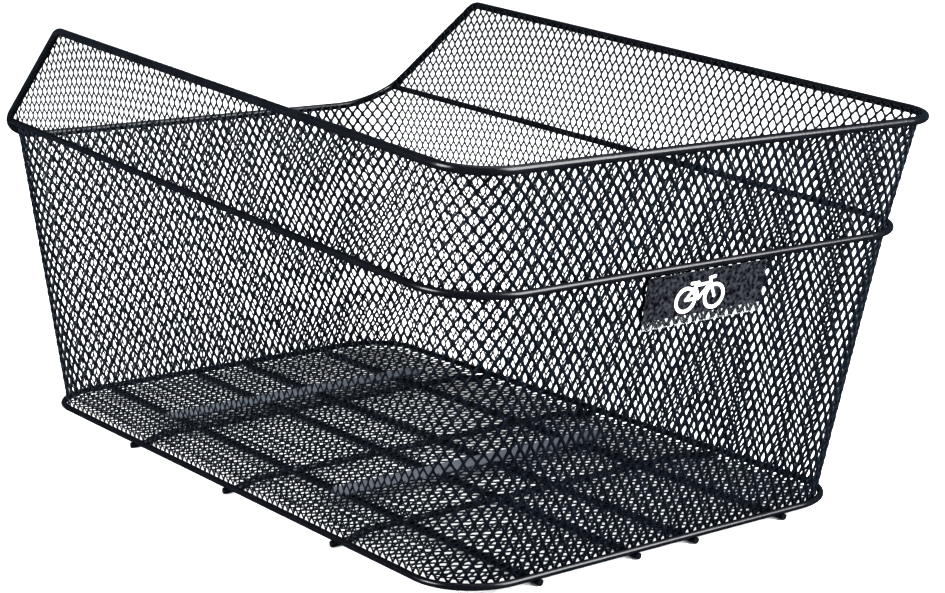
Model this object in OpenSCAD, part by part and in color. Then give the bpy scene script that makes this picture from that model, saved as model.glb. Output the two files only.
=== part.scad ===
// Rear-rack basket: an open-topped basket of expanded steel mesh on a frame of round steel wire.
// +X is the tall rear end with the badge, -X the low front end under the saddle, +Z is up, and
// left is -Y. The origin is on the ground under the middle of the basket.

/* [Rim wire] */
// Diameter of the rim wire
rim_d = 3.8; // [3:0.2:5]
// X of the rim at the rear end
rim_rear_x = 218; // [212:1:224]
// Half width of the rim at the rear end
rim_rear_y = 128.5; // [122:0.5:135]
// Height of the rim at the rear end
rim_rear_z = 180.5; // [170:0.5:195]
// X of the two peaks where the side walls are tallest
peak_x = -126; // [-145:1:-105]
// Half width of the rim at the peaks
peak_y = 127; // [122:0.5:132]
// Height of the peaks
peak_z = 208.5; // [195:0.5:220]
// X of the rim at the low front end
rim_front_x = -218; // [-224:1:-212]
// Half width of the rim at the front corners
rim_front_y = 122; // [117:0.5:128]
// Height of the rim at the low front end
rim_front_z = 145; // [135:0.5:150]
// Bend radius of the rim at the rear corners
rim_rear_bend = 22; // [14:1:36]
// Bend radius of the rim at the peaks
peak_bend = 12; // [6:1:20]
// Bend radius of the rim at the front corners
rim_front_bend = 30; // [22:1:36]

/* [Band wire] */
// Diameter of the wire that runs round the walls at mid height
band_d = 3.2; // [2.4:0.2:4]
// X of the band at the rear end
band_rear_x = 208.5; // [204:0.5:212]
// Half width of the band at the rear end
band_rear_y = 125.5; // [122:0.5:128]
// Height of the band at the rear end
band_rear_z = 130.5; // [124:0.5:138]
// Height of the band where it meets the rim at the front corners
band_front_z = 157; // [152:0.5:160]
// Bend radius of the band at the rear corners
band_rear_bend = 31; // [20:1:40]

/* [Base wires] */
// Diameter of every wire of the base
base_d = 3; // [2.4:0.2:4]
// X of the base frame at the rear end
base_rear_x = 184; // [178:1:190]
// X of the base frame at the front end
base_front_x = -198.5; // [-205:0.5:-190]
// Half width of the base frame
base_y = 111; // [105:0.5:116]
// Bend radius of the base frame at its corners
base_bend = 29; // [20:1:36]
// Distance of the two outer lengthwise wires from the middle
outer_rail_y = 69.5; // [55:0.5:80]
// Distance of the two inner lengthwise wires from the middle
inner_rail_y = 16.5; // [10:0.5:30]
// X of the middle cross wire
cross_mid_x = -1; // [-20:1:15]
// Distance from one cross wire to the next
cross_pitch = 94; // [80:1:105]

/* [Floor straps] */
// Width of the two flat steel straps across the floor
strap_w = 12; // [8:1:20]
// Length of the straps
strap_l = 160; // [100:5:170]
// X of the middle of the rear strap
strap_rear_x = 45; // [35:1:60]
// X of the middle of the front strap
strap_front_x = -116; // [-124:1:-104]

/* [Mesh] */
// Thickness of the expanded sheet
mesh_t = 1.2; // [0.8:0.1:1.8]

/* [Badge] */
// Width of the clear plate
badge_w = 66; // [50:1:80]
// Height of the clear plate
badge_h = 23.5; // [18:0.5:24]
// Thickness of the clear plate
badge_t = 1.2; // [0.8:0.1:2]
// Height of the strip along the bottom that the dark film leaves clear
clear_strip = 4.2; // [2:0.2:6]
// Distance of the emblem from the middle of the plate, towards the left
emblem_shift = 3; // [0:0.5:10]

/* [Hidden] */
$fn = 48;

black = [0.03, 0.03, 0.035];
clear = [0.85, 0.88, 0.9, 0.35];
film_grey = [0.1, 0.1, 0.11];
white = [0.95, 0.95, 0.95];

// Wires that cross are pressed into each other by this much where they are welded, and the floor
// into the cross wires
weld = 0.4;
floor_weld = 0.1;
// The floor sheet stops this far short of the walls
floor_gap = 0.1;
// Heights of the wires of the base, from the ground up: the lengthwise wires lie lowest. The walls
// and the floor start at the foot.
rail_z = base_d / 2;
frame_z = rail_z + base_d - weld;
foot_z = frame_z + base_d / 2 - floor_weld;
// The straps fill slots in the floor: level with its top, and lower than its underside by this
strap_below = 0.2;
// Radius of the corners of a strap
strap_r = 3;

// The mesh lies inside the wires: distance from a wire's centre to the middle of the sheet
rim_inset = (rim_d + mesh_t) / 2;
band_inset = (band_d + mesh_t) / 2;
foot_inset = (base_d + mesh_t) / 2;
corner_steps = 10;

// Corner points before bending, anticlockwise from the rear left, moved inwards by an inset.
function rim_corners(inset) = [
    [rim_rear_x - inset, inset - rim_rear_y, rim_rear_z],
    [rim_rear_x - inset, rim_rear_y - inset, rim_rear_z],
    [peak_x, peak_y - inset, peak_z],
    [rim_front_x + inset, rim_front_y - inset, rim_front_z],
    [rim_front_x + inset, inset - rim_front_y, rim_front_z],
    [peak_x, inset - peak_y, peak_z]];
function band_corners(inset) = [
    [band_rear_x - inset, inset - band_rear_y, band_rear_z],
    [band_rear_x - inset, band_rear_y - inset, band_rear_z],
    [rim_front_x + inset, rim_front_y - inset, band_front_z],
    [rim_front_x + inset, inset - rim_front_y, band_front_z]];
function base_corners(inset, z) = [
    [base_rear_x - inset, inset - base_y, z],
    [base_rear_x - inset, base_y - inset, z],
    [base_front_x + inset, base_y - inset, z],
    [base_front_x + inset, inset - base_y, z]];

// One bend at p between the straight runs from a and to b: [start, end, centre, angle turned]
function unit(v) = v / norm(v);
function bend(a, p, b, r) =
    let (u = unit(a - p), v = unit(b - p), turn = 180 - acos(u * v), reach = r * tan(turn / 2))
    [p + u * reach, p + v * reach, p + unit(u + v) * r / cos(turn / 2), turn];
function bend_at(path, k, r) =
    let (n = len(path)) bend(path[(k + n - 1) % n], path[k], path[(k + 1) % n], r);
function bend_point(b, f) =
    b[2] + (sin((1 - f) * b[3]) * (b[0] - b[2]) + sin(f * b[3]) * (b[1] - b[2])) / sin(b[3]);
function bend_row(path, k, r) =
    let (b = bend_at(path, k, r)) [for (i = [0:corner_steps]) bend_point(b, i / corner_steps)];

// Round bar from a to b
module bar(a, b, d) {
    run = b - a;
    translate(a)
        rotate([0, acos(run.z / norm(run)), atan2(run.y, run.x)])
            cylinder(h = norm(run), d = d);
}

// Round bar bent through the bend b at radius r. It is a hair fatter and longer than the bars
// that it joins, so that their ends lie inside it.
swell = 0.02;
spare_angle = 0.5;
module bent_bar(b, r, d) {
    ex = unit(b[0] - b[2]);
    ez = unit(cross(b[0] - b[2], b[1] - b[2]));
    ey = cross(ez, ex);
    multmatrix([
        [ex.x, ey.x, ez.x, b[2].x],
        [ex.y, ey.y, ez.y, b[2].y],
        [ex.z, ey.z, ez.z, b[2].z],
        [0, 0, 0, 1]])
        rotate(-spare_angle)
            rotate_extrude(angle = b[3] + 2 * spare_angle) translate([r, 0]) circle(d = d + swell);
}

// Closed loop of wire through the corner points, bent at radii[k] at corner k
module wire_loop(path, radii, d) {
    bends = [for (k = [0:len(path) - 1]) bend_at(path, k, radii[k])];
    for (k = [0:len(path) - 1]) {
        bent_bar(bends[k], radii[k], d);
        bar(bends[k][1], bends[(k + 1) % len(path)][0], d);
    }
}

// Length of wire with two free ends through the points, bent at radii[k] at point k
module wire_run(path, radii, d) {
    last = len(path) - 1;
    bends = [for (k = [0:last]) k == 0 || k == last
        ? [path[k], path[k]]
        : bend(path[k - 1], path[k], path[k + 1], radii[k])];
    for (k = [1:last - 1]) bent_bar(bends[k], radii[k], d);
    for (k = [0:last - 1]) bar(bends[k][1], bends[k + 1][0], d);
}

// A wall panel: rows of points from the foot up, each row running anticlockwise, made into a
// sheet by moving its points out and in along one outward direction for each column.
function halves(a, b, c, d) = [[a, b, c], [a, c, d]];
module sheet(rows, outward) {
    n = len(rows);
    m = len(outward);
    points = [for (side = [1, -1], i = [0:n - 1], j = [0:m - 1])
        rows[i][j] + side * outward[j] * mesh_t / 2];
    inner = n * m;
    outer_grid = [for (i = [0:n - 2], j = [0:m - 2])
        each halves(i * m + j, (i + 1) * m + j, (i + 1) * m + j + 1, i * m + j + 1)];
    inner_grid = [for (t = outer_grid) [inner + t[2], inner + t[1], inner + t[0]]];
    foot_edge = [for (j = [0:m - 2]) each halves(j, j + 1, inner + j + 1, inner + j)];
    top = (n - 1) * m;
    top_edge = [for (j = [0:m - 2])
        each halves(top + j + 1, top + j, inner + top + j, inner + top + j + 1)];
    left_edge = [for (i = [0:n - 2])
        each halves((i + 1) * m, i * m, inner + i * m, inner + (i + 1) * m)];
    right = m - 1;
    right_edge = [for (i = [0:n - 2])
        each halves(i * m + right, (i + 1) * m + right,
            inner + (i + 1) * m + right, inner + i * m + right)];
    polyhedron(points, concat(outer_grid, inner_grid, foot_edge, top_edge, left_edge, right_edge));
}

// Rows of points along the bends of the mesh at the left corners
foot = base_corners(foot_inset, foot_z);
foot_bend = base_bend - foot_inset;
rear_rows = [
    bend_row(foot, 0, foot_bend),
    bend_row(band_corners(band_inset), 0, band_rear_bend - band_inset),
    bend_row(rim_corners(rim_inset), 0, rim_rear_bend - rim_inset)];
front_rows = [
    bend_row(foot, 3, foot_bend),
    bend_row(rim_corners(rim_inset), 4, rim_front_bend - rim_inset)];
function mirrored(p) = [p.x, -p.y, p.z];

// Lower part of the rear wall, which carries the badge
wall_run = band_rear_x - band_inset - base_rear_x + foot_inset;
wall_rise = band_rear_z - foot_z;
wall_lean = atan(wall_run / wall_rise);
// The clear plate ends just below the band
badge_gap = 0.2;
badge_z = band_rear_z - band_d / 2 - badge_gap - badge_h / 2;
film_t = 0.3;
// The film stops this far short of the plate's top and sides
film_margin = 0.4;
emblem_t = 0.3;
backing_t = 1;

// Flat plate with rounded corners from z = 0 up, centred on x, from y = low to y = high
module plate(w, low, high, r, t) {
    translate([-w / 2, low + r, 0]) cube([w, high - low - 2 * r, t]);
    translate([r - w / 2, low, 0]) cube([w - 2 * r, high - low, t]);
    for (x = [r - w / 2, w / 2 - r], y = [low + r, high - r])
        translate([x, y, 0]) cylinder(h = t, r = r);
}

// Puts a flat piece on the outside of the rear wall: x runs to the right, y up the wall
module on_rear_wall() {
    translate([
        base_rear_x - foot_inset + wall_run * (badge_z - foot_z) / wall_rise + mesh_t / 2, 0, badge_z])
        rotate([0, wall_lean, 0]) rotate([90, 0, 90]) children();
}

module rim_wire() {
    color(black) wire_loop(rim_corners(0),
        [rim_rear_bend, rim_rear_bend, peak_bend, rim_front_bend, rim_front_bend, peak_bend], rim_d);
}

// The band's two ends are welded to the rim where its front bends come down to the band's height
module band_wire() {
    band = band_corners(0);
    meet = bend_point(bend_at(rim_corners(0), 4, rim_front_bend), 0.8);
    color(black)
        wire_run([meet, band[0], band[1], mirrored(meet)], [0, band_rear_bend, band_rear_bend, 0], band_d);
}

module base_frame_wire() {
    color(black) wire_loop(base_corners(0, frame_z), [for (k = [0:3]) base_bend], base_d);
}

// Straight wire under the whole length of the base
module rail(y) {
    color(black) bar(
        [base_front_x - base_d / 2, y, rail_z], [base_rear_x + base_d / 2, y, rail_z], base_d);
}

// Wire across the base: over the rails, and stepped down at each end to pass under the frame
module cross_wire(x) {
    tip = [x, base_y + base_d / 2, rail_z];
    step_low = [x, base_y - 8, rail_z];
    step_high = [x, base_y - 17, frame_z];
    color(black) wire_run(
        [mirrored(tip), mirrored(step_low), mirrored(step_high), step_high, step_low, tip],
        [0, 8, 8, 8, 8, 0], base_d);
}

// Flat strap across the floor, from its underside up
module strap(x, t) {
    translate([x, 0, foot_z - strap_below])
        plate(strap_w, -strap_l / 2, strap_l / 2, strap_r, t);
}

module floor_mesh() {
    edge = foot_inset + mesh_t / 2 + floor_gap;
    half_w = base_y - edge;
    color(black) difference() {
        translate([(base_rear_x + base_front_x) / 2, 0, foot_z])
            plate(base_rear_x - base_front_x - 2 * edge, -half_w, half_w, base_bend - edge, mesh_t);
        for (x = [strap_front_x, strap_rear_x]) strap(x, 2 * mesh_t);
    }
}

module floor_strap(x) {
    color(black) strap(x, mesh_t + strap_below);
}

module side_mesh() {
    color(black) sheet([
        [front_rows[0][corner_steps], rear_rows[0][0]],
        [front_rows[1][corner_steps], rear_rows[1][0]],
        [rim_corners(rim_inset)[5], rear_rows[2][0]]],
        [[0, -1, 0], [0, -1, 0]]);
}

module rear_mesh() {
    color(black) sheet(
        [for (row = rear_rows) [row[corner_steps], mirrored(row[corner_steps])]],
        [[1, 0, 0], [1, 0, 0]]);
}

module front_mesh() {
    color(black) sheet(
        [for (row = front_rows) [mirrored(row[0]), row[0]]],
        [[-1, 0, 0], [-1, 0, 0]]);
}

module rear_corner_mesh() {
    turns = [for (i = [0:corner_steps]) 90 * i / corner_steps];
    color(black) sheet(rear_rows, [for (a = turns) [sin(a), -cos(a), 0]]);
}

module front_corner_mesh() {
    turns = [for (i = [0:corner_steps]) 90 * i / corner_steps];
    color(black) sheet(front_rows, [for (a = turns) [-cos(a), -sin(a), 0]]);
}

module badge_plate() {
    color(clear) on_rear_wall() plate(badge_w, -badge_h / 2, badge_h / 2, 1, badge_t);
}

module badge_film() {
    color(film_grey) on_rear_wall() translate([0, 0, badge_t])
        plate(badge_w - 2 * film_margin, clear_strip - badge_h / 2, badge_h / 2 - film_margin, 0.8,
            film_t);
}

// Flat stroke with round ends, a little fatter than the stroke
end_swell = 0.2;
module stroke(a, b, w) {
    run = b - a;
    translate(a) rotate(atan2(run.y, run.x)) translate([0, -w / 2]) square([norm(run), w]);
    translate(a) circle(d = w + end_swell);
    translate(b) circle(d = w + end_swell);
}

// A plain bicycle pictogram
module badge_emblem() {
    rear_hub = [-7.8, -2.4];
    front_hub = [7.8, -2.4];
    crank = [-1, -2.4];
    seat = [-3.4, 4.2];
    head = [5, 3.9];
    wheel_d = 11.6;
    tyre_w = 1.5;
    tube_w = 1.2;
    color(white) on_rear_wall() translate([-emblem_shift, 1.6, badge_t + film_t])
        linear_extrude(emblem_t) {
            for (hub = [rear_hub, front_hub]) translate(hub) difference() {
                circle(d = wheel_d);
                circle(d = wheel_d - 2 * tyre_w);
            }
            stroke(rear_hub, crank, tube_w);
            stroke(rear_hub, seat * 0.8, tube_w);
            stroke(crank, seat, tube_w);
            stroke(crank, head, tube_w);
            stroke(seat * 0.8, head, tube_w);
            stroke(front_hub, head + [-0.7, 2], tube_w);
            stroke(seat - [2, -0.4], seat + [1.6, 0.4], tube_w);
            stroke(head + [-0.7, 2], head + [2, 2.4], tube_w);
        }
}

// Thin strip inside the wall that the clear plate is clamped to through the mesh
module badge_backing() {
    color(film_grey) on_rear_wall() translate([0, 0, -mesh_t * cos(wall_lean) - backing_t])
        plate(badge_w - 8, 5 - badge_h / 2, badge_h / 2 - 2, 1, backing_t);
}

module mirror_y() {
    mirror([0, 1, 0]) children();
}

rim_wire();
band_wire();
base_frame_wire();
rail(-outer_rail_y);  // outer_rail_left
rail(-inner_rail_y);  // inner_rail_left
rail(inner_rail_y);  // inner_rail_right
rail(outer_rail_y);  // outer_rail_right
cross_wire(cross_mid_x - cross_pitch);  // cross_wire_front
cross_wire(cross_mid_x);  // cross_wire_middle
cross_wire(cross_mid_x + cross_pitch);  // cross_wire_rear
floor_strap(strap_front_x);  // floor_strap_front
floor_strap(strap_rear_x);  // floor_strap_rear
floor_mesh();
side_mesh();  // side_mesh_left
mirror_y() side_mesh();  // side_mesh_right
rear_mesh();
front_mesh();
rear_corner_mesh();  // rear_corner_mesh_left
mirror_y() rear_corner_mesh();  // rear_corner_mesh_right
front_corner_mesh();  // front_corner_mesh_left
mirror_y() front_corner_mesh();  // front_corner_mesh_right
badge_plate();
badge_film();
badge_emblem();
badge_backing();
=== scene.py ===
"""Looks of the rear-rack basket: expanded steel mesh, coated wires, floor straps and the badge."""

import math

import bpy
import numpy as np
from mathutils import Matrix, Vector


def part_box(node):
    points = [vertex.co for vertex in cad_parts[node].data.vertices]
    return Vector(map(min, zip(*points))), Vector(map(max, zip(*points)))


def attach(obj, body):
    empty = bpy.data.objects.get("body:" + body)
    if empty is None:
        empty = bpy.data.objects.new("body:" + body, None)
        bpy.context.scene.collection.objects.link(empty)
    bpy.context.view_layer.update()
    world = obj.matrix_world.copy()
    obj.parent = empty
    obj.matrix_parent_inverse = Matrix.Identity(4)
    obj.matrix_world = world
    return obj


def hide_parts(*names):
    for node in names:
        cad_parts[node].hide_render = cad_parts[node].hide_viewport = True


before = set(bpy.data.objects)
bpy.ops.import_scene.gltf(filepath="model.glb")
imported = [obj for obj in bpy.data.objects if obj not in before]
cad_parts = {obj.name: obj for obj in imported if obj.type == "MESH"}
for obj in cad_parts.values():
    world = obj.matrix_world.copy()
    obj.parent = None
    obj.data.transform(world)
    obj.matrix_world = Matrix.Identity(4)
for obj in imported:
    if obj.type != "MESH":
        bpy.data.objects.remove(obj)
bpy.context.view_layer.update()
MM = 0.001

# ---------------------------------------------------------------- sizes, in metres
# Expanded mesh: the long way of its diamonds stands upright on every wall
COLUMNS = 238
CELL_HEIGHT_AT_FOOT = 9.6 * MM
CELL_SHRINK = 0.004              # share by which a cell is shorter than the one below it
TALLEST_ROW = 60                 # more rows of half cells than the tallest wall holds
STRAND_T = 0.5 * MM
STRAND_TWIST = 0.34 * MM         # how far a strand's edges stand out of the sheet
WALL_HOLE = 0.975                # size of a hole in the walls, against the drawn one
MESH_T = 1.2 * MM                # thickness of the plain sheets in the frame
EDGE_OVER_RIM = 1.0 * MM         # how far the mesh reaches above the middle of the rim
SQUEEZE = 0.02                   # what is left of the part of a cell beyond an edge
FOOT_DROP = 1.5 * MM             # how far the walls reach down behind the base wire

# The mesh is stretched round the corners, and its rows are pulled down there: by the droop at
# the droop height, and by less further down
STRETCH_REAR = 0.12
STRETCH_FRONT = 0.20
STRETCH_REACH = 80 * MM
DROOP_REAR = 15 * MM
DROOP_FRONT = 12 * MM
DROOP_REACH = 85 * MM
DROOP_HEIGHT = 180 * MM

# Bend radii of the middle of the mesh, at the rear and at the front
FOOT_BENDS = (26.9 * MM, 26.9 * MM)
BAND_BENDS = (28.8 * MM, 27.5 * MM)
TOP_BENDS = (19.5 * MM, 27.5 * MM)
RIM_REAR_BEND = 22 * MM
RIM_PEAK_BEND = 12 * MM
RIM_FRONT_BEND = 30 * MM
RIM_D = 3.8 * MM
BAND_D = 3.2 * MM
BASE_D = 3.0 * MM

# Floor sheet
FLOOR_CELL_WIDTH = 5.2 * MM
FLOOR_CELL_LENGTH = 9.6 * MM
FLOOR_TWIST = 0.08 * MM          # the floor's strands lie almost flat
FLOOR_HOLE = 1.0                 # size of a hole in the floor, against the drawn one
FLOOR_OVERHANG = 0.3             # cells this far past the outline, in cell widths, are kept


# ---------------------------------------------------------------- the frame's own places
def highest_point(node):
    """The highest vertex of a CAD node."""
    return max((v.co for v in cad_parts[node].data.vertices), key=lambda co: co.z)


rim_low, rim_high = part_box("rim_wire")
band_low, band_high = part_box("band_wire")
base_low, base_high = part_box("base_frame_wire")
peak = highest_point("side_mesh_right")
foot_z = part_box("rear_mesh")[0].z
wall_foot_z = foot_z - FOOT_DROP
rear_rim_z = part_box("rear_mesh")[1].z
front_rim_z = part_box("front_mesh")[1].z
front_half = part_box("front_corner_mesh_right")[1].y - MESH_T / 2
band_rear_z = band_low.z + BAND_D / 2
band_front_z = band_high.z - BAND_D / 2


def slope(x, rear, front):
    """Height at x of the sloping plane through two points (x, z)."""
    return rear[1] + (x - rear[0]) * (front[1] - rear[1]) / (front[0] - rear[0])


# ---------------------------------------------------------------- outlines of the walls
def unit(v):
    return v / np.linalg.norm(v)


def rounded_path(corners, radii, steps=24):
    """Points along a closed path through the corners, each rounded to its radius."""
    points = []
    count = len(corners)
    for k, radius in enumerate(radii):
        corner = corners[k]
        back = unit(corners[k - 1] - corner)
        ahead = unit(corners[(k + 1) % count] - corner)
        turn = math.pi - math.acos(back @ ahead)
        reach = radius * math.tan(turn / 2)
        centre = corner + unit(back + ahead) * radius / math.cos(turn / 2)
        start = corner + back * reach - centre
        end = corner + ahead * reach - centre
        for f in np.linspace(0, 1, steps + 1):
            mix = math.sin((1 - f) * turn) * start + math.sin(f * turn) * end
            points.append(centre + mix / math.sin(turn))
    return np.array(points)


class Outline:
    """A rounded outline of the wall at one level, with the mesh's columns spread along it.

    It starts at the middle of the rear wall and runs to the right, so anticlockwise.
    """

    STEPS = 24
    SAMPLES = 6000

    def __init__(self, rear_x, rear_y, front_x, front_y, bends, height):
        corners = np.array([
            (rear_x, rear_y, height(rear_x)),
            (front_x, front_y, height(front_x)),
            (front_x, -front_y, height(front_x)),
            (rear_x, -rear_y, height(rear_x)),
        ])
        rear_bend, front_bend = bends
        path = rounded_path(corners, (rear_bend, front_bend, front_bend, rear_bend), self.STEPS)
        middle = np.array([(rear_x, 0, height(rear_x))])
        path = np.concatenate([middle, path, middle])
        run = np.concatenate([[0], np.cumsum(np.linalg.norm(np.diff(path, axis=0), axis=1))])
        self.length = run[-1]
        per_corner = self.STEPS + 1
        self.bend_starts = [run[1 + k * per_corner] for k in range(4)]
        self.bend_ends = [run[1 + k * per_corner + self.STEPS] for k in range(4)]
        self.run = np.linspace(0, self.length, self.SAMPLES)
        self.points = np.stack([np.interp(self.run, run, path[:, c]) for c in range(3)], axis=1)
        stretch = self.near_corners(self.run, STRETCH_REACH, (STRETCH_REAR, STRETCH_FRONT))
        density = 1 / (1 + stretch)
        columns = np.concatenate([[0], np.cumsum((density[1:] + density[:-1]) / 2)])
        self.columns = columns * COLUMNS / columns[-1]

    def near_corners(self, run, reach, sizes):
        """A smooth hump at each corner, of the rear and of the front size."""
        total = np.zeros_like(run)
        rear, front = sizes
        for start, end, size in zip(self.bend_starts, self.bend_ends, (rear, front, front, rear)):
            gap = np.abs(run - (start + end) / 2)
            gap = np.minimum(gap, self.length - gap)
            total += size * np.exp(-(gap / reach) ** 2)
        return total

    def run_at(self, column):
        return np.interp(np.mod(column, COLUMNS), self.columns, self.run)

    def at(self, column):
        run = self.run_at(column)
        return np.stack([np.interp(run, self.run, self.points[:, c]) for c in range(3)], axis=-1)

    def column_of(self, run):
        return float(np.interp(run, self.run, self.columns))


foot_inset = BASE_D + MESH_T / 2
band_inset = BAND_D + MESH_T / 2
rim_inset = RIM_D + MESH_T / 2
front_x = rim_low.x + rim_inset
foot = Outline(
    base_high.x - foot_inset, base_high.y - foot_inset,
    base_low.x + foot_inset, base_high.y - foot_inset,
    FOOT_BENDS, lambda x: foot_z)
band_line = ((band_high.x - BAND_D / 2, band_rear_z), (rim_low.x + RIM_D / 2, band_front_z))
band = Outline(
    band_high.x - band_inset, band_high.y - band_inset, front_x, front_half,
    BAND_BENDS, lambda x: slope(x, *band_line))
top_line = ((rim_high.x - RIM_D / 2, rear_rim_z), (peak.x, peak.z))
top = Outline(
    rim_high.x - rim_inset, rim_high.y - rim_inset, front_x, peak.y - MESH_T / 2,
    TOP_BENDS, lambda x: slope(x, *top_line))


def wall_place(column, z):
    """Point on the middle of the mesh of the walls, at a column and a height."""
    low, mid, high = foot.at(column), band.at(column), top.at(column)
    below = (z - low[..., 2]) / (mid[..., 2] - low[..., 2])
    above = (z - mid[..., 2]) / (high[..., 2] - mid[..., 2])
    upper = (below > 1)[..., None]
    place = np.where(upper, mid + (high - mid) * above[..., None], low + (mid - low) * below[..., None])
    place[..., 2] = z
    return place


# ---------------------------------------------------------------- edge of the walls along the rim
RIM_STEPS = 3000
EDGE_PASSES = 14                 # each pass halves the error of the height


def rim_path():
    """Evenly spaced points along the middle of the rim wire."""
    rear_x, front = rim_high.x - RIM_D / 2, rim_low.x + RIM_D / 2
    rear_y, peak_y = rim_high.y - RIM_D / 2, peak.y - MESH_T / 2 + rim_inset - RIM_D / 2
    front_y = front_half + rim_inset - RIM_D / 2
    right = [(rear_x, rear_y, rear_rim_z), (peak.x, peak_y, peak.z), (front, front_y, front_rim_z)]
    corners = right + [(x, -y, z) for x, y, z in reversed(right)]
    bends = (RIM_REAR_BEND, RIM_PEAK_BEND, RIM_FRONT_BEND)
    path = rounded_path(np.array(corners), bends + bends[::-1])
    closed = np.concatenate([path, path[:1]])
    run = np.concatenate([[0], np.cumsum(np.linalg.norm(np.diff(closed, axis=0), axis=1))])
    even = np.linspace(0, run[-1], RIM_STEPS)
    return np.stack([np.interp(even, run, closed[:, c]) for c in range(3)], axis=1)


def edge_heights(columns):
    """Height of the top edge of the mesh at each column: a little above the rim's middle."""
    path = rim_path()
    z = np.full(len(columns), band_front_z)
    for _ in range(EDGE_PASSES):
        place = wall_place(columns, z)
        gaps = ((place[:, None, :2] - path[None, :, :2]) ** 2).sum(axis=2)
        z = (z + path[gaps.argmin(axis=1), 2] + EDGE_OVER_RIM) / 2
    return z


EDGE_TABLE_STEP = 0.25
edge_columns = np.arange(0, COLUMNS, EDGE_TABLE_STEP)
edge_z = edge_heights(edge_columns)


def edge_at(column):
    """Height of the top edge at any column."""
    return np.interp(np.mod(column, COLUMNS), edge_columns, edge_z, period=COLUMNS)


# ---------------------------------------------------------------- rows of the mesh
def flat_row_height(row):
    """Height of a row where the mesh hangs straight; rows are half a cell apart."""
    tallest = CELL_HEIGHT_AT_FOOT / CELL_SHRINK
    return wall_foot_z + tallest * (1 - np.exp(-CELL_SHRINK * row / 2))


def row_height(column, row):
    """Rows arch between the corners, where the mesh has been pulled down."""
    z = flat_row_height(row)
    droop = band.near_corners(band.run_at(column), DROOP_REACH, (DROOP_REAR, DROOP_FRONT))
    return z - droop * (np.clip(z, 0, None) / DROOP_HEIGHT) ** 2


def wall_surface(column, row):
    """Point on the mesh at a column and row, squeezed where the sheet is cut off."""
    z = row_height(column, row)
    edge = edge_at(column)
    z = np.where(z > edge, edge + SQUEEZE * (z - edge), z)
    z = np.where(z < wall_foot_z, wall_foot_z + SQUEEZE * (z - wall_foot_z), z)
    return wall_place(column, z)


SIDE_STEP = 0.1                  # in columns
RISE_STEP = 0.5 * MM


def wall_normal(column, row):
    """Outward direction of the mesh at a column and row."""
    z = np.clip(row_height(column, row), wall_foot_z, edge_at(column))
    side = wall_place(column + SIDE_STEP, z) - wall_place(column - SIDE_STEP, z)
    rise = wall_place(column, z + RISE_STEP) - wall_place(column, z - RISE_STEP)
    normal = np.cross(side, rise)
    return normal / np.linalg.norm(normal, axis=-1, keepdims=True)


# ---------------------------------------------------------------- one cell of the mesh
# The edge of a cell, anticlockwise from its right corner, in quarter columns and half rows
CELL_EDGE = np.array([(2, 0), (1, 1), (0, 2), (-1, 1), (-2, 0), (-1, -1), (0, -2), (1, -1)])
# The hole of a cell, anticlockwise from its lower right, in columns and rows
BOND_X, BOND_Y = 0.362, 0.09
SHOULDER_X, SHOULDER_Y = 0.14, 0.52
TIP_Y = 0.68
CELL_HOLE = np.array([
    (BOND_X, -BOND_Y), (BOND_X, BOND_Y), (SHOULDER_X, SHOULDER_Y), (0, TIP_Y),
    (-SHOULDER_X, SHOULDER_Y), (-BOND_X, BOND_Y), (-BOND_X, -BOND_Y),
    (-SHOULDER_X, -SHOULDER_Y), (0, -TIP_Y), (SHOULDER_X, -SHOULDER_Y)])
# Triangles between the edge (E, 0-7) and the hole (H, 8-17)
E, H = list(range(8)), list(range(8, 18))
CELL_FACES = np.array([
    (E[0], E[1], H[1]), (E[0], H[1], H[0]), (E[1], H[2], H[1]), (E[1], E[2], H[2]),
    (E[2], H[3], H[2]), (E[2], H[4], H[3]), (E[2], E[3], H[4]), (E[3], H[5], H[4]),
    (E[3], E[4], H[5]), (E[4], H[6], H[5]), (E[4], E[5], H[6]), (E[5], H[7], H[6]),
    (E[5], E[6], H[7]), (E[6], H[8], H[7]), (E[6], H[9], H[8]), (E[6], E[7], H[9]),
    (E[7], H[0], H[9]), (E[7], E[0], H[0])])


def mesh_object(name, points, smooth_faces, flat_faces):
    """A mesh of triangles, the first ones shaded smooth and the others flat."""
    faces = np.concatenate([smooth_faces, flat_faces])
    mesh = bpy.data.meshes.new(name)
    mesh.vertices.add(len(points))
    mesh.vertices.foreach_set("co", points.astype(np.float32).ravel())
    mesh.loops.add(faces.size)
    mesh.loops.foreach_set("vertex_index", faces.astype(np.int32).ravel())
    mesh.polygons.add(len(faces))
    mesh.polygons.foreach_set("loop_start", np.arange(0, faces.size, 3, dtype=np.int32))
    mesh.update(calc_edges=True)
    mesh.polygons.foreach_set("use_smooth", np.arange(len(faces)) < len(smooth_faces))
    mesh.validate()
    obj = bpy.data.objects.new(name, mesh)
    bpy.context.scene.collection.objects.link(obj)
    return obj


def quads(a, b, c, d):
    """Two triangles for each quad a, b, c, d."""
    return np.concatenate([np.stack([a, b, c], axis=-1), np.stack([a, c, d], axis=-1)]).reshape(-1, 3)


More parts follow.
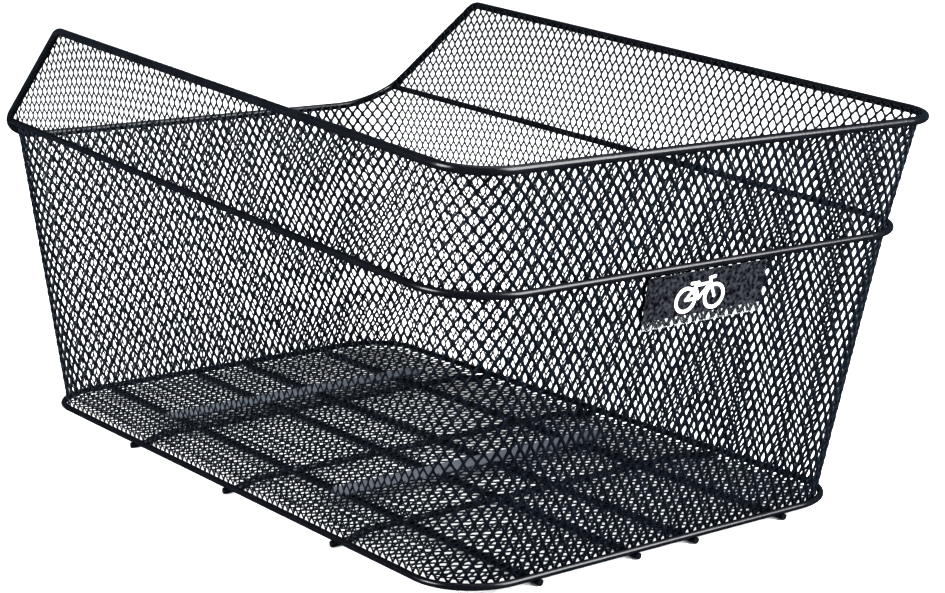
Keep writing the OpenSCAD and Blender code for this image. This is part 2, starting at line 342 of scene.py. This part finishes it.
def lattice(name, cells, surface, normal, strand_twist, hole):
    """Expanded mesh with one diamond opening for each cell (column, row).

    surface and normal give the place and the outward direction at a column and row. Neighbouring
    cells share the points of their edges, so the sheet is closed.
    """
    grid_edge = np.round(cells * (4, 2)).astype(np.int64)[:, None, :] + CELL_EDGE
    keys, shared = np.unique(grid_edge.reshape(-1, 2), axis=0, return_inverse=True)
    shared = shared.reshape(len(cells), 8)
    holes = (cells[:, None, :] + CELL_HOLE * hole).reshape(-1, 2)
    flat = np.concatenate([keys / (4, 2), holes])
    own = len(keys) + np.arange(len(holes)).reshape(len(cells), 10)
    twist = np.concatenate([np.zeros(len(keys)), np.tile(-CELL_HOLE[:, 0] / BOND_X, len(cells))])
    middle = surface(flat[:, 0], flat[:, 1])
    out = normal(flat[:, 0], flat[:, 1])
    middle = middle + out * (twist * strand_twist)[:, None]
    points = np.concatenate([middle + out * STRAND_T / 2, middle - out * STRAND_T / 2])
    back = len(flat)
    corner = np.concatenate([shared, own], axis=1)
    front_faces = corner[:, CELL_FACES].reshape(-1, 3)
    back_faces = front_faces[:, ::-1] + back
    ahead = np.roll(own, -1, axis=1)
    hole_faces = quads(own, ahead, ahead + back, own + back)
    start, end = shared.ravel(), np.roll(shared, -1, axis=1).ravel()
    low, high = np.minimum(start, end), np.maximum(start, end)
    _, which, count = np.unique(low * back + high, return_inverse=True, return_counts=True)
    cut = count[which] == 1
    cut_faces = quads(start[cut] + back, end[cut] + back, end[cut], start[cut])
    return mesh_object(name, points, np.concatenate([front_faces, back_faces, hole_faces]), cut_faces)


# ---------------------------------------------------------------- materials
def new_material(name):
    material = bpy.data.materials.new(name)
    material.use_nodes = True
    nodes = material.node_tree.nodes
    return material, nodes, material.node_tree.links, nodes["Principled BSDF"]


def noise(nodes, links, scale, detail=3.0):
    """Noise in the object's own coordinates, with its size in bumps per metre."""
    place = nodes.new("ShaderNodeTexCoord")
    texture = nodes.new("ShaderNodeTexNoise")
    texture.inputs["Scale"].default_value = scale
    texture.inputs["Detail"].default_value = detail
    links.new(place.outputs["Object"], texture.inputs["Vector"])
    return texture.outputs["Fac"]


def ramp(nodes, links, value, low, high, start=0.3, end=0.7):
    """Two colours mixed by a value."""
    mix = nodes.new("ShaderNodeValToRGB")
    mix.color_ramp.elements[0].position = start
    mix.color_ramp.elements[1].position = end
    mix.color_ramp.elements[0].color = (*low, 1)
    mix.color_ramp.elements[1].color = (*high, 1)
    links.new(value, mix.inputs["Fac"])
    return mix.outputs["Color"]


def spread(nodes, links, value, low, high):
    """A value from 0 to 1 moved to the range from low to high."""
    scale = nodes.new("ShaderNodeMapRange")
    scale.inputs["To Min"].default_value = low
    scale.inputs["To Max"].default_value = high
    links.new(value, scale.inputs["Value"])
    return scale.outputs["Result"]


def bump(nodes, links, value, distance, strength=1.0):
    node = nodes.new("ShaderNodeBump")
    node.inputs["Distance"].default_value = distance
    node.inputs["Strength"].default_value = strength
    links.new(value, node.inputs["Height"])
    return node.outputs["Normal"]


def coating(name, dark, light, rough_low, rough_high, ripple, gloss=0.25):
    """Powder coat, faintly uneven in colour and gloss, with a soft ripple."""
    material, nodes, links, shader = new_material(name)
    patches = noise(nodes, links, 90.0)
    links.new(ramp(nodes, links, patches, dark, light), shader.inputs["Base Color"])
    grain = noise(nodes, links, 420.0)
    links.new(spread(nodes, links, grain, rough_low, rough_high), shader.inputs["Roughness"])
    links.new(bump(nodes, links, noise(nodes, links, 700.0, 1.0), ripple), shader.inputs["Normal"])
    shader.inputs["Specular IOR Level"].default_value = gloss
    return material


def clear_plastic():
    """Smoky clear moulded plate, faintly scuffed."""
    material, nodes, links, shader = new_material("clear_plastic")
    scuffs = noise(nodes, links, 300.0)
    links.new(spread(nodes, links, scuffs, 0.0, 0.015), shader.inputs["Roughness"])
    links.new(ramp(nodes, links, scuffs, (0.44, 0.46, 0.49), (0.52, 0.54, 0.57)), shader.inputs["Base Color"])
    shader.inputs["Transmission Weight"].default_value = 1.0
    shader.inputs["IOR"].default_value = 1.46
    return material


def marbled_film():
    """Dark film printed with cloudy grey marbling."""
    material, nodes, links, shader = new_material("marbled_film")
    clouds = noise(nodes, links, 620.0, 4.0)
    colour = ramp(nodes, links, clouds, (0.003, 0.003, 0.005), (0.027, 0.029, 0.034), 0.40, 0.62)
    links.new(colour, shader.inputs["Base Color"])
    links.new(spread(nodes, links, clouds, 0.22, 0.36), shader.inputs["Roughness"])
    shader.inputs["Specular IOR Level"].default_value = 0.07
    return material


def plain_print(name, low, high, rough_low, rough_high):
    """One plain colour with fine specks."""
    material, nodes, links, shader = new_material(name)
    specks = noise(nodes, links, 900.0)
    links.new(ramp(nodes, links, specks, low, high), shader.inputs["Base Color"])
    links.new(spread(nodes, links, specks, rough_low, rough_high), shader.inputs["Roughness"])
    return material


wire_coat = coating(
    "wire_coat", (0.0045, 0.0050, 0.0070), (0.0075, 0.0080, 0.0105), 0.16, 0.30, 0.03 * MM)
mesh_coat = coating(
    "mesh_coat", (0.0034, 0.0052, 0.0085), (0.0060, 0.0090, 0.0140), 0.28, 0.44, 0.04 * MM, 0.16)
# The floor straps are an even mid grey, far lighter than the near-black wires and mesh.
strap_grey = coating(
    "strap_grey", (0.085, 0.092, 0.105), (0.105, 0.113, 0.128), 0.30, 0.42, 0.02 * MM)


# ---------------------------------------------------------------- pieces
def finish_piece(obj, material, slot, *nodes):
    """Gives a new piece its material and puts it in the place of CAD nodes."""
    obj.data.materials.clear()
    obj.data.materials.append(material)
    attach(obj, "root")
    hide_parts(*nodes)
    return obj


CELL_FOOT = 0.6                  # a cell's lower part, in rows, that must lie below the edge


def wall_cells():
    """Every cell of the walls as (column, row), with those that lie beyond an edge left out."""
    rows = np.arange(0, TALLEST_ROW)
    cells = np.array([(i + (j % 2) / 2, j) for j in rows for i in range(COLUMNS)], dtype=float)
    low = row_height(cells[:, 0], cells[:, 1] - CELL_FOOT)
    return cells[low < edge_at(cells[:, 0])]


def wall_parts():
    """Name of each wall piece, with the columns where it starts and ends."""
    starts = [round(band.column_of(run)) for run in band.bend_starts]
    ends = [round(band.column_of(run)) for run in band.bend_ends]
    return [
        ("rear_corner_mesh_right", starts[0], ends[0]), ("side_mesh_right", ends[0], starts[1]),
        ("front_corner_mesh_right", starts[1], ends[1]), ("front_mesh", ends[1], starts[2]),
        ("front_corner_mesh_left", starts[2], ends[2]), ("side_mesh_left", ends[2], starts[3]),
        ("rear_corner_mesh_left", starts[3], ends[3]), ("rear_mesh", ends[3], starts[0])]


def build_walls():
    """One lattice for each wall and corner of the frame."""
    cells = wall_cells()
    for node, start, end in wall_parts():
        offset = np.mod(cells[:, 0] - start, COLUMNS)
        part = cells[offset < (end - start) % COLUMNS]
        part[:, 0] = start + np.mod(part[:, 0] - start, COLUMNS)
        name = node.replace("mesh", "lattice")
        piece = lattice(name, part, wall_surface, wall_normal, STRAND_TWIST, WALL_HOLE)
        finish_piece(piece, mesh_coat, "mesh_coating", node)


def build_floor():
    """The lattice of the floor, cut to its rounded outline."""
    low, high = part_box("floor_mesh")
    middle = (low + high) / 2
    half = np.array([(high.x - low.x) / 2, (high.y - low.y) / 2])
    bend = FOOT_BENDS[0]

    def surface(column, row):
        """Flat sheet, squeezed in at its rounded outline."""
        x = column * FLOOR_CELL_WIDTH
        y = row * FLOOR_CELL_LENGTH / 2
        core = half - bend
        near = np.stack([np.clip(x, -core[0], core[0]), np.clip(y, -core[1], core[1])], axis=-1)
        away = np.stack([x, y], axis=-1) - near
        reach = np.linalg.norm(away, axis=-1, keepdims=True)
        kept = np.where(reach > bend, bend + SQUEEZE * (reach - bend), reach)
        flat = near + away * kept / np.maximum(reach, 1e-9)
        return np.concatenate([flat + middle[:2], np.full((len(flat), 1), middle.z)], axis=-1)

    def normal(column, row):
        return np.tile((0.0, 0.0, 1.0), (len(column), 1))

    span_x, span_y = (half / (FLOOR_CELL_WIDTH, FLOOR_CELL_LENGTH / 2)).astype(int) + 1
    cells = np.array([
        (i + (j % 2) / 2, j) for j in range(-span_y, span_y + 1) for i in range(-span_x, span_x + 1)],
        dtype=float)
    x, y = np.abs(cells * (FLOOR_CELL_WIDTH, FLOOR_CELL_LENGTH / 2)).T
    gap = np.hypot(np.clip(x - half[0] + bend, 0, None), np.clip(y - half[1] + bend, 0, None)) - bend
    cells = cells[gap < FLOOR_OVERHANG * FLOOR_CELL_WIDTH]
    piece = lattice("floor_lattice", cells, surface, normal, FLOOR_TWIST, FLOOR_HOLE)
    finish_piece(piece, mesh_coat, "mesh_coating", "floor_mesh")


def coat_node(node, material):
    """Gives a carried-over CAD node its material."""
    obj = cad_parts[node]
    obj.data.materials.clear()
    obj.data.materials.append(material)
    return obj


WIRES = ["rim_wire", "band_wire", "base_frame_wire", "outer_rail_left", "inner_rail_left",
         "inner_rail_right", "outer_rail_right", "cross_wire_front", "cross_wire_middle",
         "cross_wire_rear"]
build_walls()
build_floor()
for wire in WIRES:
    coat_node(wire, wire_coat)
for strap in ("floor_strap_front", "floor_strap_rear"):
    coat_node(strap, strap_grey)
coat_node("badge_plate", clear_plastic())
coat_node("badge_film", marbled_film())
coat_node(
    "badge_emblem",
    plain_print("white_print", (0.86, 0.86, 0.87), (0.95, 0.95, 0.95), 0.25, 0.4))
coat_node(
    "badge_backing",
    plain_print("black_plastic", (0.010, 0.010, 0.011), (0.022, 0.022, 0.024), 0.45, 0.6))


# ---------------------------------------------------------------- stage, light and camera
STAGE_SIZE = 4
STAGE_DROP = 0.1 * MM


def build_stage():
    """Plain pale floor just below the basket."""
    bpy.ops.mesh.primitive_plane_add(size=STAGE_SIZE, location=(0, 0, -STAGE_DROP))
    floor = bpy.context.object
    floor.name = "stage_floor"
    material, nodes, links, shader = new_material("pale_floor")
    specks = noise(nodes, links, 40.0)
    links.new(ramp(nodes, links, specks, (0.93, 0.93, 0.93), (0.95, 0.95, 0.95)), shader.inputs["Base Color"])
    shader.inputs["Roughness"].default_value = 0.9
    floor.data.materials.append(material)
    floor.visible_glossy = False  # keeps the undersides of the wires dark


def area_light(name, place, target, size, power):
    """Soft light at a place, turned to a target."""
    data = bpy.data.lights.new(name, "AREA")
    data.shape = "RECTANGLE"
    data.size, data.size_y = size
    data.energy = power
    obj = bpy.data.objects.new(name, data)
    obj.location = place
    obj.rotation_euler = (Vector(target) - Vector(place)).to_track_quat("-Z", "Y").to_euler()
    bpy.context.scene.collection.objects.link(obj)


# Strength of the surroundings as the camera, the floor and the glossy wires see them
BACKDROP_LIGHT = 1.0
FLOOR_FILL = 0.50
GLOSS_FILL = 0.11
MIDDLE = (0, 0, 0.1)


def build_light():
    """Pale room, with a soft light on each side of the camera and one above."""
    world = bpy.data.worlds.new("studio")
    bpy.context.scene.world = world
    world.use_nodes = True
    nodes, links = world.node_tree.nodes, world.node_tree.links
    ray = nodes.new("ShaderNodeLightPath")
    room = nodes["Background"]
    last = room.outputs[0]
    room.inputs["Color"].default_value = (0.55, 0.82, 1.0, 1)
    room.inputs["Strength"].default_value = GLOSS_FILL
    for kind, strength in (
            ("Is Diffuse Ray", FLOOR_FILL), ("Is Transmission Ray", BACKDROP_LIGHT),
            ("Is Camera Ray", BACKDROP_LIGHT)):
        light = nodes.new("ShaderNodeBackground")
        light.inputs["Color"].default_value = (1, 1, 1, 1)
        light.inputs["Strength"].default_value = strength
        pick = nodes.new("ShaderNodeMixShader")
        links.new(ray.outputs[kind], pick.inputs[0])
        links.new(last, pick.inputs[1])
        links.new(light.outputs[0], pick.inputs[2])
        last = pick.outputs[0]
    links.new(last, nodes["World Output"].inputs["Surface"])
    area_light("light_left", (-0.55, -2.0, 0.85), MIDDLE, (1.0, 1.2), 80)
    area_light("light_right", (1.8, 0.95, 1.15), MIDDLE, (1.5, 2.0), 165)
    area_light("light_top", (0.1, 0.5, 2.4), MIDDLE, (2.4, 2.0), 30)


CAMERA_AZIMUTH = math.radians(53.67)
CAMERA_ELEVATION = math.radians(12.76)
CAMERA_ROLL = math.radians(-0.31)
CAMERA_DISTANCE = 0.973
CAMERA_TARGET = Vector((0.0507, -0.0013, 0.0846))


def build_camera():
    """Camera at the photograph's viewing angle."""
    data = bpy.data.cameras.new("camera")
    data.sensor_width = 36
    data.lens = 78.5
    data.shift_x, data.shift_y = -0.0064, 0.0095
    data.clip_start, data.clip_end = 0.01, 50
    camera = bpy.data.objects.new("camera", data)
    back = Vector((
        math.sin(CAMERA_AZIMUTH) * math.cos(CAMERA_ELEVATION),
        -math.cos(CAMERA_AZIMUTH) * math.cos(CAMERA_ELEVATION),
        math.sin(CAMERA_ELEVATION)))
    camera.location = CAMERA_TARGET + back * CAMERA_DISTANCE
    level = (-back).to_track_quat("-Z", "Y").to_matrix()
    camera.rotation_euler = (level @ Matrix.Rotation(CAMERA_ROLL, 3, "Z")).to_euler()
    bpy.context.scene.collection.objects.link(camera)
    bpy.context.scene.camera = camera


build_stage()
build_light()
build_camera()
bpy.context.scene.view_settings.view_transform = "Standard"
bpy.context.scene.view_settings.look = "High Contrast"
